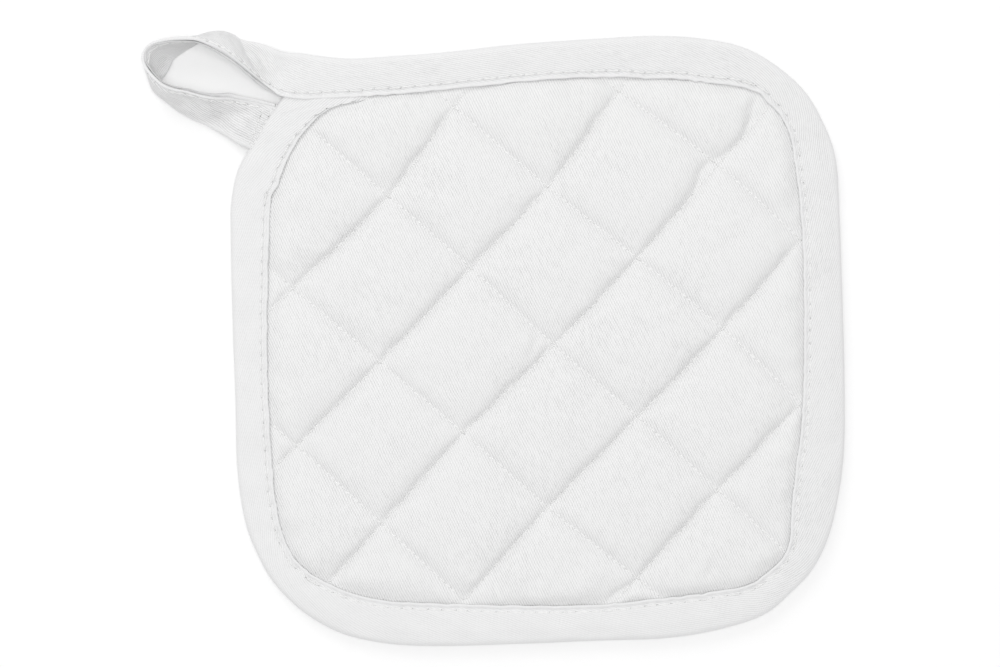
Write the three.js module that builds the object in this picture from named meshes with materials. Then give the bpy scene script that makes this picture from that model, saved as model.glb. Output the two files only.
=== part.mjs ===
// A quilted pot holder, lying on its back: a filled pad sewn through on a diamond grid, a cloth
// tape folded over its rim, and the free end of that tape as a hanging loop at one corner.
// Millimetres, +Z up. The origin is under the middle of the whole outline, loop included.
import * as THREE from 'three';

// ---- Driving dimensions -------------------------------------------------------------------
const GAP = 0.3;               // between two pieces that touch
const RIM_HEIGHT = 6.0;        // binding, over both leaves and the pad between them
const LEAF = 1.2;              // one leaf of the binding with its folded-in hem
const RIM_WALL = 1.2;          // binding at the rim, where the tape turns over
const PAD_EDGE = RIM_HEIGHT - 2 * LEAF - 2 * GAP;   // pad pressed flat inside the binding
const MIDDLE = RIM_HEIGHT / 2; // height of the middle of the rim over the table
const CROWN_TOP = 9.0;         // middle of a quilted diamond
const SEAM_TOP = 4.9;          // top of the pad along a quilting line
const SEAM_BOTTOM = 1.9;       // underside of the pad along a quilting line
const CORNER_SQUEEZE = 0.5;    // each face of the pad is pressed this much more at the loop
const CORNER_REACH = 9.0;      // how far from the loop's root that squeeze reaches
const EDGE_RISE = 3.2;         // the pad swells out of the binding over this length
const MOUTH_GAP = 0.5;         // and starts to swell this far past its hem
const MOUTH_CLEAR = 1.5;       // the quilted points keep this far from where it starts
const EDGE_STEP = 5.0;         // spacing of the points along the pad's edge
const PUFF_POWER = 0.62;       // below 1: flat crowns that drop quickly at the seams
const STITCH_INSET = 2.0;      // topstitch, from the open edge of the tape
const STITCH_DIP = 0.35;       // how far the topstitch draws the tape in
const STITCH_REACH = 1.4;      // on each side of the topstitch
const STRIP_HALF = 1.1;        // half the thickness of the tape folded double
const SLIT_DEPTH = 3.0;        // the two folded hems part this deep along the loop
const SLIT_WIDTH = 0.5;
const HEM_ROUND = 0.5;         // rounding of the tape's open edge
const HEM_FACE = 0.3;          // least height of the flat that ends each leaf
const PART_BEFORE = 2.5;       // the leaves start to part this far before the hollow's floor
const PART_AFTER = 0.5;        // and are apart this far past it
const FOLD_SAMPLES = [0.3, 1.2, 3.0];                      // section points, from the fold
const HEM_SAMPLES = [STITCH_INSET + STITCH_REACH, STITCH_INSET, HEM_ROUND];   // and from the hem
const CLOTH = { roughness: 0.92, metalness: 0 };
const WHITE_PAD = 0xefefef;
const WHITE_TAPE = 0xe9e9ea;

// ---- Binding: one row for each section, from the loop corner down the left side, round the
// bottom, up the right side and back along the top. The rim is the fold of the tape, the hem
// its open edge on the pad.
const BINDING_COLUMNS = ['rimX', 'rimY', 'hemX', 'hemY'];
const BINDING_ROWS = [
  [-71.5, 79.6, -42.7, 80.3],
  [-76.3, 72.9, -55.7, 76.4],
  [-82.0, 62.9, -67.0, 63.9],
  [-85.3, 57.2, -70.3, 56.2],
  [-87.7, 45.9, -74.3, 45.2],
  [-87.8, 31.6, -74.9, 31.6],
  [-87.2, 4.9, -75.4, 4.9],
  [-86.3, -20.1, -75.1, -19.4],
  [-85.5, -45.1, -73.6, -44.4],
  [-82.7, -62.1, -71.5, -60.8],
  [-79.3, -70.8, -68.7, -68.8],
  [-74.7, -79.4, -65.3, -74.1],
  [-68.3, -86.8, -60.3, -78.4],
  [-60.7, -92.9, -54.7, -81.2],
  [-50.3, -98.2, -47.3, -84.4],
  [-36.3, -101.3, -35.7, -86.8],
  [-21.3, -102.2, -21.3, -87.6],
  [8.7, -101.5, 8.7, -88.5],
  [35.3, -100.4, 34.7, -88.1],
  [57.0, -99.6, 55.3, -86.1],
  [74.7, -96.8, 72.3, -83.9],
  [90.7, -91.4, 85.3, -81.4],
  [99.3, -84.2, 92.3, -76.4],
  [106.0, -77.1, 96.7, -71.8],
  [111.3, -66.8, 98.3, -65.8],
  [114.7, -53.4, 99.5, -51.8],
  [116.7, -38.4, 101.3, -37.4],
  [117.0, -15.1, 103.0, -16.1],
  [116.2, 16.6, 103.1, 16.6],
  [115.3, 41.6, 102.2, 40.9],
  [114.0, 60.6, 100.2, 58.9],
  [110.7, 70.6, 97.5, 70.6],
  [103.7, 82.9, 92.7, 77.9],
  [92.0, 93.0, 86.0, 82.9],
  [82.3, 97.9, 78.7, 84.6],
  [68.7, 100.6, 67.0, 86.2],
  [53.7, 101.4, 52.0, 87.0],
  [32.0, 100.3, 32.0, 87.2],
  [8.7, 98.7, 9.7, 85.9],
  [-18.0, 95.8, -16.7, 83.2],
  [-36.3, 94.5, -35.3, 81.6],
];

// Where the pad's corner turns away under the tape, the two leaves close on each other.
// pocket: from the fold to the floor of the hollow; gape: height of the hollow;
// foldHalf and hemHalf: half the thickness of the tape at its fold and at its hem.
const LEAVING_COLUMNS = ['rimX', 'rimY', 'hemX', 'hemY', 'pocket', 'gape', 'foldHalf', 'hemHalf'];
const LEAVING_ROWS = [
  [-48.0, 93.8, -47.3, 80.8, 1.2, 3.6, 2.8, 3.0],
  [-58.7, 94.8, -58.0, 80.2, 3.4, 3.6, 2.0, 3.0],
  [-64.7, 95.6, -64.3, 80.1, 7.2, 3.6, 1.5, 3.0],
  [-70.8, 96.2, -70.7, 80.9, 11.8, 2.4, 1.3, 2.4],
];

// The pad's own corner below the loop, which the tape bridges.
const PAD_CORNER_COLUMNS = ['x', 'y'];
const PAD_CORNER_ROWS = [
  [-54.0, 91.4],
  [-60.3, 89.6],
  [-65.0, 86.7],
  [-68.0, 83.4],
  [-69.8, 79.7],
];

// ---- Hanging loop: one row for each section, from the corner round the bend to the tack. The
// strip starts flat, stands on its fold, leans inward at the bend and lies down again.
const LOOP_COLUMNS = ['hemX', 'hemY', 'hemZ', 'foldX', 'foldY', 'foldZ'];
const LOOP_ROWS = [
  [-71.1, 80.9, 3.0, -71.1, 96.2, 3.0],
  [-74.3, 83.1, 3.4, -75.3, 97.9, 2.7],
  [-77.3, 85.6, 4.6, -79.3, 99.1, 2.2],
  [-81.0, 88.9, 7.6, -82.7, 99.8, 1.6],
  [-84.7, 91.9, 10.0, -85.3, 100.8, 1.0],
  [-91.3, 96.2, 12.0, -90.3, 102.2, 0.6],
  [-98.0, 99.5, 13.0, -96.3, 101.2, 0.4],
  [-101.3, 100.2, 13.1, -99.7, 98.9, 0.4],
  [-108.0, 100.0, 11.9, -104.0, 95.9, 0.6],
  [-114.0, 98.6, 9.9, -107.0, 93.2, 0.9],
  [-116.0, 96.6, 9.2, -107.5, 91.9, 1.0],
  [-116.8, 94.2, 9.4, -108.0, 90.9, 1.0],
  [-116.3, 91.9, 10.4, -108.7, 89.4, 0.8],
  [-115.0, 89.8, 11.8, -109.5, 88.2, 0.6],
  [-113.0, 87.6, 12.9, -110.7, 86.8, 0.4],
  [-110.7, 85.6, 13.2, -111.7, 84.6, 0.4],
  [-107.3, 84.0, 12.5, -109.7, 80.6, 0.5],
  [-102.3, 82.9, 11.1, -105.3, 76.6, 0.7],
  [-98.0, 81.6, 10.2, -100.7, 73.9, 0.9],
  [-93.0, 80.9, 8.4, -96.0, 71.4, 1.2],
  [-88.3, 80.9, 5.6, -91.3, 68.9, 1.6],
  [-84.7, 80.1, 4.0, -88.0, 66.9, 2.1],
  [-80.7, 79.4, 3.2, -85.3, 65.2, 2.8],
  [-74.0, 77.9, 3.0, -82.4, 64.0, 3.0],
];
const ROOT_SECTIONS = 2;       // rows over which the root of the loop thins to the double strip
const ROOT = { slit: 3.5, gape: 2.4, foldHalf: 1.3, hemHalf: 2.4 };

// ---- Quilting: where the rising lines (one row each, from the loop corner to the far one)
// cross the falling lines (one [x, y] pair each, from the top right to the bottom left).
const CROSSINGS = [
  [[10.0, 108.6], [-13.3, 77.6], [-35.3, 47.9], [-67.0, 17.2], [-95.3, -10.8]],
  [[41.7, 82.9], [18.0, 50.9], [-7.7, 23.9], [-38.0, -7.4], [-65.7, -35.4]],
  [[74.7, 58.2], [47.7, 27.2], [20.0, -1.8], [-10.0, -31.2], [-37.3, -61.4]],
  [[102.3, 33.2], [76.3, 3.6], [48.0, -25.8], [18.0, -55.8], [-9.7, -86.8]],
  [[130.0, 7.9], [102.3, -21.1], [74.7, -50.1], [47.7, -79.4], [20.0, -110.1]],
];
const CELL_STEPS = [0, 0.06, 0.17, 0.33, 0.5, 0.67, 0.83, 0.94];   // shares of a diamond's side

// ---- Small helpers ------------------------------------------------------------------------
function named(columns, rows) {
  return rows.map((row) => Object.fromEntries(columns.map((name, i) => [name, row[i]])));
}

function lerp(a, b, t) {
  return a + (b - a) * t;
}

function smooth(from, to, value) {
  const t = Math.min(1, Math.max(0, (value - from) / (to - from)));
  return t * t * (3 - 2 * t);
}

function closedMesh(name, positions, indices, color) {
  const geometry = new THREE.BufferGeometry();
  geometry.setAttribute('position', new THREE.Float32BufferAttribute(positions.flat(), 3));
  geometry.setIndex(indices);
  geometry.computeVertexNormals();
  const mesh = new THREE.Mesh(geometry, new THREE.MeshStandardMaterial({ color, ...CLOTH }));
  mesh.name = name;
  return mesh;
}

// ---- The tape: a section swept from row to row ----------------------------------------------
// A station holds the fold, the hem and the four sizes of its section.
function stationsThrough(rows, stepsPerRow) {
  const folds = new THREE.CatmullRomCurve3(rows.map((row) => row.fold));
  const hems = new THREE.CatmullRomCurve3(rows.map((row) => row.hem));
  const count = (rows.length - 1) * stepsPerRow;
  return Array.from({ length: count + 1 }, (_, k) => {
    const row = Math.min(Math.floor(k / stepsPerRow), rows.length - 2);
    const share = k / stepsPerRow - row;
    const station = {
      fold: folds.getPoint(k / count),
      hem: hems.getPoint(k / count),
      tangent: folds.getTangent(k / count).add(hems.getTangent(k / count)).normalize(),
    };
    for (const size of ['pocket', 'gape', 'foldHalf', 'hemHalf']) {
      station[size] = lerp(rows[row][size], rows[row + 1][size], share);
    }
    return station;
  });
}

// Half the thickness of the tape at a distance from its fold, with the topstitch's dip.
function halfThickness(station, width, fromFold) {
  const swell = smooth(station.pocket - PART_BEFORE, station.pocket + PART_AFTER, fromFold);
  const body = lerp(station.foldHalf, station.hemHalf, swell);
  const turn = 1 - Math.min(1, fromFold / body);
  const fromStitch = Math.abs(width - STITCH_INSET - fromFold);
  const dip = STITCH_DIP * smooth(STITCH_REACH, 0, fromStitch) * Math.min(1, body / MIDDLE);
  return body * Math.sqrt(1 - turn * turn) - dip;
}

// The section as [from the fold, up] pairs, counter-clockwise: upper leaf, fold, lower leaf,
// then the hollow between the leaves.
function tapeSection(station) {
  const width = station.fold.distanceTo(station.hem);
  const along = [...FOLD_SAMPLES, 0.5 * width, ...HEM_SAMPLES.map((inset) => width - inset)];
  const upper = along.map((u) => [u, halfThickness(station, width, u)]);
  const lower = upper.map(([u, v]) => [u, -v]);
  const half = station.gape / 2;
  const hemEdge = Math.max(halfThickness(station, width, width) - HEM_ROUND, half + HEM_FACE);
  return [
    [width, half],
    [width, hemEdge],
    ...upper.reverse(),
    [0, 0],
    ...lower,
    [width, -hemEdge],
    [width, -half],
    [station.pocket, -half],
    [station.pocket, half],
  ];
}

function sweptTape(name, stations) {
  const sections = stations.map(tapeSection);
  const ring = sections[0].length;
  const positions = [];
  stations.forEach((station, k) => {
    const across = station.hem.clone().sub(station.fold).normalize();
    const up = station.tangent.clone().cross(across).normalize();
    for (const [u, v] of sections[k]) {
      const point = station.fold.clone().addScaledVector(across, u).addScaledVector(up, v);
      positions.push(point.toArray());
    }
  });
  const indices = [];
  for (let k = 0; k < stations.length - 1; k += 1) {
    for (let i = 0; i < ring; i += 1) {
      const a = k * ring + i;
      const b = k * ring + ((i + 1) % ring);
      indices.push(a, b, b + ring, a, b + ring, a + ring);
    }
  }
  const cap = (k, flip) => {
    const flat = sections[k].map(([u, v]) => new THREE.Vector2(u, v));
    for (const [a, b, c] of THREE.ShapeUtils.triangulateShape(flat, [])) {
      const corner = flip ? [a, c, b] : [a, b, c];
      indices.push(...corner.map((i) => k * ring + i));
    }
  };
  cap(0, true);
  cap(stations.length - 1, false);
  return closedMesh(name, positions, indices, WHITE_TAPE);
}

function bindingRow(row) {
  return {
    fold: new THREE.Vector3(row.rimX, row.rimY, MIDDLE),
    hem: new THREE.Vector3(row.hemX, row.hemY, MIDDLE),
    pocket: row.pocket ?? RIM_WALL,
    gape: row.gape ?? RIM_HEIGHT - 2 * LEAF,
    foldHalf: row.foldHalf ?? MIDDLE,
    hemHalf: row.hemHalf ?? MIDDLE,
  };
}

function loopRow(row, index) {
  const hem = new THREE.Vector3(row.hemX, row.hemY, row.hemZ);
  const fold = new THREE.Vector3(row.foldX, row.foldY, row.foldZ);
  const thin = Math.min(1, index / ROOT_SECTIONS);
  return {
    fold,
    hem,
    pocket: fold.distanceTo(hem) - lerp(ROOT.slit, SLIT_DEPTH, thin),
    gape: lerp(ROOT.gape, SLIT_WIDTH, thin),
    foldHalf: lerp(ROOT.foldHalf, STRIP_HALF, thin),
    hemHalf: lerp(ROOT.hemHalf, STRIP_HALF, thin),
  };
}

// ---- The pad ---------------------------------------------------------------------------------
// One more line of crossings is laid on each side of the table, carried on straight.
function carriedOn(list) {
  const first = list[0].clone().multiplyScalar(2).sub(list[1]);
  const last = list.at(-1).clone().multiplyScalar(2).sub(list.at(-2));
  return [first, ...list, last];
}

function quiltLines() {
  const rows = CROSSINGS.map((row) => carriedOn(row.map(([x, y]) => new THREE.Vector2(x, y))));
  const columns = rows[0].map((_, j) => carriedOn(rows.map((row) => row[j])));
  return columns;
}

// The point at line numbers (p, q), from curves through the crossings.
function quiltPoint(columns, p, q) {
  const across = columns.map((column) => {
    const points = column.map((v) => new THREE.Vector3(v.x, v.y, 0));
    return new THREE.CatmullRomCurve3(points).getPoint(p / (column.length - 1));
  });
  return new THREE.CatmullRomCurve3(across).getPoint(q / (columns.length - 1));
}

// A closed line cut into equal steps no longer than the one given.
function spaced(loop, step) {
  return loop.flatMap((a, i) => {
    const b = loop[(i + 1) % loop.length];
    const count = Math.max(1, Math.ceil(a.distanceTo(b) / step));
    return Array.from({ length: count }, (_, k) => a.clone().lerp(b, k / count));
  });
}

function distanceToLoop(x, y, loop) {
  let best = Infinity;
  loop.forEach((a, i) => {
    const b = loop[(i + 1) % loop.length];
    const dx = b.x - a.x;
    const dy = b.y - a.y;
    const t = ((x - a.x) * dx + (y - a.y) * dy) / (dx * dx + dy * dy);
    const share = Math.min(1, Math.max(0, t));
    best = Math.min(best, Math.hypot(x - a.x - share * dx, y - a.y - share * dy));
  });
  return best;
}

function insideLoop(x, y, loop) {
  let inside = false;
  loop.forEach((a, i) => {
    const b = loop[(i + 1) % loop.length];
    const crosses = (a.y > y) !== (b.y > y);
    if (crosses && x < ((b.x - a.x) * (y - a.y)) / (b.y - a.y) + a.x) inside = !inside;
  });
  return inside;
}

// Delaunay triangles of a set of points, added one at a time inside one far triangle.
function delaunay(points) {
  const far = 1e4;
  const all = [...points, { x: -far, y: -far }, { x: far, y: -far }, { x: 0, y: far }];
  const circle = (i, j, k) => {
    const [a, b, c] = [all[i], all[j], all[k]];
    const bx = b.x - a.x;
    const by = b.y - a.y;
    const cx = c.x - a.x;
    const cy = c.y - a.y;
    const twice = 2 * (bx * cy - by * cx);
    const b2 = bx * bx + by * by;
    const c2 = cx * cx + cy * cy;
    const ux = (cy * b2 - by * c2) / twice;
    const uy = (bx * c2 - cx * b2) / twice;
    return { corners: [i, j, k], x: a.x + ux, y: a.y + uy, r2: ux * ux + uy * uy };
  };
  let triangles = [circle(points.length, points.length + 1, points.length + 2)];
  points.forEach((point, n) => {
    const rim = new Map();
    const kept = [];
    for (const t of triangles) {
      if ((point.x - t.x) ** 2 + (point.y - t.y) ** 2 >= t.r2) {
        kept.push(t);
        continue;
      }
      const [i, j, k] = t.corners;
      for (const [from, to] of [[i, j], [j, k], [k, i]]) {
        if (!rim.delete(`${to},${from}`)) rim.set(`${from},${to}`, [from, to]);
      }
    }
    triangles = kept;
    for (const [from, to] of rim.values()) triangles.push(circle(from, to, n));
  });
  return triangles.map((t) => t.corners).filter((corners) => corners.every((i) => i < points.length));
}

// How far the quilting lets the wadding rise, 0 on a line and 1 in the middle of a diamond.
function puff(p, q) {
  const rise = Math.abs(Math.sin(Math.PI * p) * Math.sin(Math.PI * q));
  return rise ** PUFF_POWER;
}

function quiltedPad(binding, leaving) {
  const wrapped = [...binding.slice(1), leaving[0]];
  const stations = stationsThrough(wrapped, 2);
  const cornerRows = named(PAD_CORNER_COLUMNS, PAD_CORNER_ROWS);
  const corner = cornerRows.map(({ x, y }) => new THREE.Vector3(x, y, 0));
  const loopRoot = corner.at(-2);
  const inHollow = ({ fold, hem }) => {
    const across = hem.clone().sub(fold).normalize();
    return fold.clone().addScaledVector(across, RIM_WALL + GAP);
  };
  const pastHem = ({ hem, tangent }) => {
    const inward = new THREE.Vector3(-tangent.y, tangent.x, 0);
    return hem.clone().addScaledVector(inward, MOUTH_GAP);
  };
  const edge = spaced([...stations.map(inHollow), ...corner], EDGE_STEP);
  const mouth = spaced(stationsThrough([...binding, leaving[0]], 2).map(pastHem), EDGE_STEP);
  const points = [...edge, ...mouth].map(({ x, y }) => ({ x, y, rise: 0 }));

  const columns = quiltLines();
  const lines = CROSSINGS.length + 1;
  for (let cellP = 0; cellP < lines; cellP += 1) {
    for (let cellQ = 0; cellQ < lines; cellQ += 1) {
      for (const stepP of CELL_STEPS) {
        for (const stepQ of CELL_STEPS) {
          const { x, y } = quiltPoint(columns, cellP + stepP, cellQ + stepQ);
          const fromMouth = distanceToLoop(x, y, mouth);
          if (insideLoop(x, y, mouth) && fromMouth > MOUTH_CLEAR) {
            const swell = 1 - Math.exp(-fromMouth / EDGE_RISE);
            points.push({ x, y, swell, rise: puff(cellP + stepP, cellQ + stepQ) });
          }
        }
      }
    }
  }

  const squeeze = ({ x, y }) => {
    const away = Math.hypot(x - loopRoot.x, y - loopRoot.y) / CORNER_REACH;
    return CORNER_SQUEEZE * Math.exp(-away * away);
  };
  const edgeTop = (point) => MIDDLE + PAD_EDGE / 2 - squeeze(point);
  const edgeBottom = (point) => MIDDLE - PAD_EDGE / 2 + squeeze(point);
  const top = (point) => {
    const quilted = lerp(SEAM_TOP, CROWN_TOP, point.rise);
    return lerp(edgeTop(point), quilted, point.swell ?? 0);
  };
  const bottom = (point) => {
    const quilted = lerp(SEAM_BOTTOM, -SEAM_BOTTOM, point.rise);
    return Math.max(0, lerp(edgeBottom(point), quilted, point.swell ?? 0));
  };

  const faces = delaunay(points).filter((corners) => {
    const x = corners.reduce((sum, i) => sum + points[i].x, 0) / 3;
    const y = corners.reduce((sum, i) => sum + points[i].y, 0) / 3;
    return insideLoop(x, y, edge);
  });
  const positions = [
    ...points.map((point) => [point.x, point.y, top(point)]),
    ...points.map((point) => [point.x, point.y, bottom(point)]),
  ];
  const indices = [];
  const outline = new Map();
  for (const [i, j, k] of faces) {
    const turn = (points[j].x - points[i].x) * (points[k].y - points[i].y)
      - (points[j].y - points[i].y) * (points[k].x - points[i].x);
    const [a, b, c] = turn > 0 ? [i, j, k] : [i, k, j];
    indices.push(a, b, c, a + points.length, c + points.length, b + points.length);
    for (const [from, to] of [[a, b], [b, c], [c, a]]) {
      if (!outline.delete(`${to},${from}`)) outline.set(`${from},${to}`, [from, to]);
    }
  }
  for (const [from, to] of outline.values()) {
    indices.push(from, from + points.length, to + points.length, from, to + points.length, to);
  }
  return closedMesh('quilted_pad', positions, indices, WHITE_PAD);
}

// ---- Assembly ----------------------------------------------------------------------------------
const binding = named(BINDING_COLUMNS, BINDING_ROWS).map(bindingRow);
const leaving = named(LEAVING_COLUMNS, LEAVING_ROWS).map(bindingRow);
const loop = named(LOOP_COLUMNS, LOOP_ROWS).map(loopRow);

const group = new THREE.Group();
group.add(quiltedPad(binding, leaving));
group.add(sweptTape('edge_binding', stationsThrough([...binding, ...leaving], 2)));
group.add(sweptTape('hanging_loop', stationsThrough(loop, 2)));

const box = new THREE.Box3().setFromObject(group);
const middle = box.getCenter(new THREE.Vector3());
group.position.set(-middle.x, -middle.y, -box.min.z);

export default group;
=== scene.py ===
"""A white quilted pot holder on its back: the filled pad with its sewn diamonds, the twill tape
folded over its rim, the same tape running on into a hanging loop, and all the sewing.

Tables are in millimetres about TABLE_ORIGIN; meshes are in metres in the part's frame."""
import math
from types import SimpleNamespace

import bpy
import numpy as np
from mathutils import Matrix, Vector
from mathutils.bvhtree import BVHTree


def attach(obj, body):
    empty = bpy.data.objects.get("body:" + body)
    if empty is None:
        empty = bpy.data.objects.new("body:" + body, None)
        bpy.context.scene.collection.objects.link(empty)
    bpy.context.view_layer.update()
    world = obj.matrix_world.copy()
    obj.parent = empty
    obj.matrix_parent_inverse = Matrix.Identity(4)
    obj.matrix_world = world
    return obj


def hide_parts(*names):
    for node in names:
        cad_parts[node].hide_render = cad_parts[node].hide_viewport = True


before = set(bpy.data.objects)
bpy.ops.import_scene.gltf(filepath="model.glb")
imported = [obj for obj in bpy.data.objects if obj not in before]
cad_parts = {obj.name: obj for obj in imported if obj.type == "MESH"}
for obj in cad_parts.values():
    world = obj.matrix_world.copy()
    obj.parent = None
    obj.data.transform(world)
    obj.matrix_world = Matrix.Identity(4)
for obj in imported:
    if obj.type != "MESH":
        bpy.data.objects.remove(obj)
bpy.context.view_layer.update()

MM = 0.001
TABLE_ORIGIN = (0.07, -0.245)  # where the tables' own zero lies in the part's frame, mm

# ---- Random draws: each has its own seed ----
SEED = 7
HEM_SEED = SEED + 1  # and the next
HEAVE_SEED = SEED + 5
EDGE_RISE_SEED = SEED + 6
DRAWN_IN_SEED = SEED + 7
LEDGE_SEED = SEED + 8
FACE_SEEDS = {1: SEED + 10, -1: SEED + 20}  # the tape's top and under face; and the next two
QUILTING_SEED = SEED + 50  # the first line's; one more for each line
EDGING_SEEDS = {1: SEED + 80, -1: SEED + 81}
TACK_SEED = SEED + 90  # the first row's; one more for each row
PUCKER_SEED_STEPS = (100, 20, 2)  # to the underside, to the falling lines, to the next line
WAVE_COUNT = 9  # sine waves that add up to a random field
WAVE_SPREAD = (0.7, 1.5)  # their lengths, of the one asked for

# ---- The pad, mm ----
RIM_HEIGHT = 6.0  # over both leaves and the pad between them
MIDDLE = RIM_HEIGHT / 2
LEAF = 1.2  # one leaf of the binding with its folded-in hem
GAP = 0.3  # between a leaf and the pad
PAD_EDGE = RIM_HEIGHT - 2 * LEAF - 2 * GAP
EDGE_TOP = MIDDLE + PAD_EDGE / 2
EDGE_BOTTOM = MIDDLE - PAD_EDGE / 2
EDGE_RISE = 3.2  # the pad swells out of the binding over this length
EDGE_RISE_CHANGE = 0.35  # share by which that length changes from place to place
EDGE_RISE_WAVE = 14  # and how far apart such places are
RISING_SEAM_TOP = 4.5  # top of the pad on a rising quilting line
FALLING_SEAM_LIFT = 0.7  # a falling line lies this much higher
CROWN_LIFT = 3.5  # middle of a diamond, above a falling line
FOLD_RUN = 0.6  # beside a seam the cover rises over three lengths: a steep fold,
BANK_RUN = 1.9  # a short bank
SWELL_RUN = 5.0  # and a slow swell
SWELL_SHARE = 0.5  # share of the rise taken by the swell
FOLD_SHARE = 0.28  # and by the fold, which only the upper left of a rising line has
SEAM_LEDGE = 0.5  # that fold lies this far beyond the stitches
LEDGE_CHANGE = 0.6
LEDGE_WAVE = 11
HEAVE = 0.15  # slow unevenness of the diamonds
HEAVE_WAVE = 15
SEAM_BOTTOM = 2.1  # on a quilting line
UNDER_SWELL = 3.6  # if the table were not there
TABLE_PRESS = 0.12  # how gradually it leaves the table, mm squared
PUCKER_HEIGHTS = (0.55, 0.34)  # beside rising lines, beside falling lines
PUCKER_PITCH = 3.0  # along the seam
PUCKER_REACH = 4.2  # away from the seam
PUCKER_START = 0.9  # and they begin over this length
PUCKER_SLANT = 0.25
UNDER_PUCKERS = 0.8  # strength on the underside
DRAWN_IN_HEIGHT = 0.8  # puckers beside the binding's hem
DRAWN_IN_PITCH = 3.6
DRAWN_IN_REACH = 4.0
DRAWN_IN_START = 0.8
CELLS = 6  # diamonds from one side of the grid to the other
CELL = 36.8  # side of a quilted diamond
CELL_SAMPLES = 42
SEAM_CROWDING = 0.45  # share by which they are closer at the seams
CORNER_SQUEEZE = 0.5  # the pad's edge is thinner where the loop leaves
CORNER_REACH = 9.0

# ---- The tape, mm ----
RIM_SPREAD = 1.25  # the fold turns over this many half heights
HEM_ROUND = 0.5
STRIP_HALF = 1.1  # half the thickness of the tape folded double
SLIT_DEPTH = 3.0
SLIT_WIDTH = 0.28
SLIT_SHIFT = 0.5  # the loop's outer leaf is the thicker one
LIP_STAGGER = 1.2  # the loop's inner leaf reaches this much further
STAGGER_FROM = 0.5  # from this share of the width on
LIP_DEPTH = 0.6  # the hems are rounded off inside, down to this depth
LIP_STEP = 0.35  # one more sample at this share of it
LIP_ROUNDING = (0.30, 0.08, 0.0, 0.0)  # at the hem, that sample, that depth and the bottom
ROOT_SECTIONS = 2  # rows over which the loop's root thins to the double strip
ROOT_EXTRA = (-0.5, 2.0, 0.2, 1.3)  # pocket, gape, and halves at the root, over the strip's
START_HALVES = (2.2, 2.45, 2.85, 2.98)  # the tape's start is pressed down under its other end
FLAT_START_ROWS = 3  # the weave runs straight on through these rows
STATION_STEP = 0.8
RUN_SAMPLES = 40  # between two rows, to measure the distance run
OUTLINE_STRIDE = 4  # stations to each point of the pad's outline
HEM_SAMPLES = (0, 0.08, 0.22, 0.5, 0.8, 1.15, 1.5, 1.85, 2.2, 2.6, 3.1, 3.7)  # from the hem
FOLD_SAMPLES = (0.05, 0.2, 0.45, 0.8, 1.3, 1.9, 2.7, 3.6)  # from the fold
MIDDLE_SAMPLES = 7
LEAF_CHANGE = (-2.5, 0.5)  # from the pocket: where the fold's thickness turns into the hem's
TOPSTITCH_INSET = 2.2
LOOP_STITCH_INSET = 1.4
STITCH_DIP = 0.60
LOOP_DIP_LOSS = 0.2  # share by which the loop's dip is less
HOLE_DIP = 0.35  # and by which it is deeper at the needle holes
STITCH_REACH = 1.1  # the cloth is drawn down this far to each side
GROOVE_INSET = 0.72  # and deepest at this share of its distance from the hem
RIM_HOLLOW = 0.35  # the binding is a little hollow beside its fold
RIM_HOLLOW_PLACE = 3.0
RIM_HOLLOW_REACH = 1.5
RELIEF_WAVES = ((17.0, 0.16, 1.6), (7.0, 0.05, 0.6))  # length, height, squeeze across the tape
FOLD_CALM = 2.5  # the relief fades out this close to the fold
GATHER_PITCH = 2.6
GATHER_PLACE = 2.5  # from the hem
GATHER_REACH = 3.0
GATHER_LEAST = 0.07  # height where the hem isn't eased in
GATHER_GAIN = 0.55  # and for each share by which it is
MOST_GATHER = 0.6
GATHER_CALM = 1.0  # they fade out this close to the hem
UNDER_RELIEF = 0.6  # strength on the underside
HEM_STRAY = 0.18  # the hem wanders this much, slowly and quickly
HEM_STRAY_STEPS = (9.0, 2.6)
STRAY_FROM = 0.45  # and the cloth with it, from this share of the width on
CREASE_END = 0.04  # a crease keeps the depth it has at this share of its length
CREASE_TAPER = 0.6  # the lower, the more suddenly it ends

# ---- The sewing, mm ----
STITCH_PITCH = 4.5
QUILT_PITCH = 2.8
TACK_PITCH = 1.9
HOLE_SPREAD = (0.4, 0.6)  # where in its pitch a needle hole may lie
STITCH_SWAY = 0.07  # how far such a stitch strays to the side
TOPSTITCH_SWAY = 0.06
QUILT_LINE_POINTS = 241
TACK_LINE_POINTS = 12
DROP_HEIGHT = 40.0  # clear of everything
THREAD_RADIUS = 0.20
THREAD_LIFT = 0.8  # of its middle over the cloth, in radii
THREAD_SINK = 0.45
HOLE_GAP = 0.06  # it starts this far from the middle of its hole
THREAD_DIVE = 0.75  # it bends down over this length at each hole
THREAD_RINGS = (0, 0.18, 0.4, 0.75)  # from each end
THREAD_SIDES = 6
NEEDLE_HOLE = 0.26  # painted shadow on the thread this close to its hole

# ---- Cloth, thread and table: lengths in mm ----
PAD_COLOR = (0.865, 0.865, 0.865)
TAPE_COLOR = (0.85, 0.85, 0.852)
CLOTH_ROUGHNESS = 0.88
CLOTH_SHEEN = 0.12
SHEEN_ROUGHNESS = 0.5
SPECULAR = 0.25
PAD_WALE_ANGLE = -64
PAD_WALE_PITCH = 0.78
TAPE_WALE_ANGLE = 19  # to the tape's run
TAPE_WALE_PITCH = 0.70
WALE_SHARE = 0.30  # of the relief's height
SLUB_LENGTH = 3.0  # over which a wale changes its thickness
SLUB_GAIN = 2.0
DRIFT_RATE = 0.09  # bumps per mm of the noise that bends the wales
DRIFT = 9.0  # radians by which it can shift them
YARN_PITCH = 0.45
YARN_SHARE = 0.10
FUZZ_RATE = 3.0
FUZZ_DETAIL = 3.0
FUZZ_SHARE = 0.35
RELIEF_BASE = 0.5  # height of the cloth halfway up a wale
PATCH_RATE = 0.05  # where wales stand out more or cloth is lighter
PATCH_DETAIL = 4.0
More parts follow.
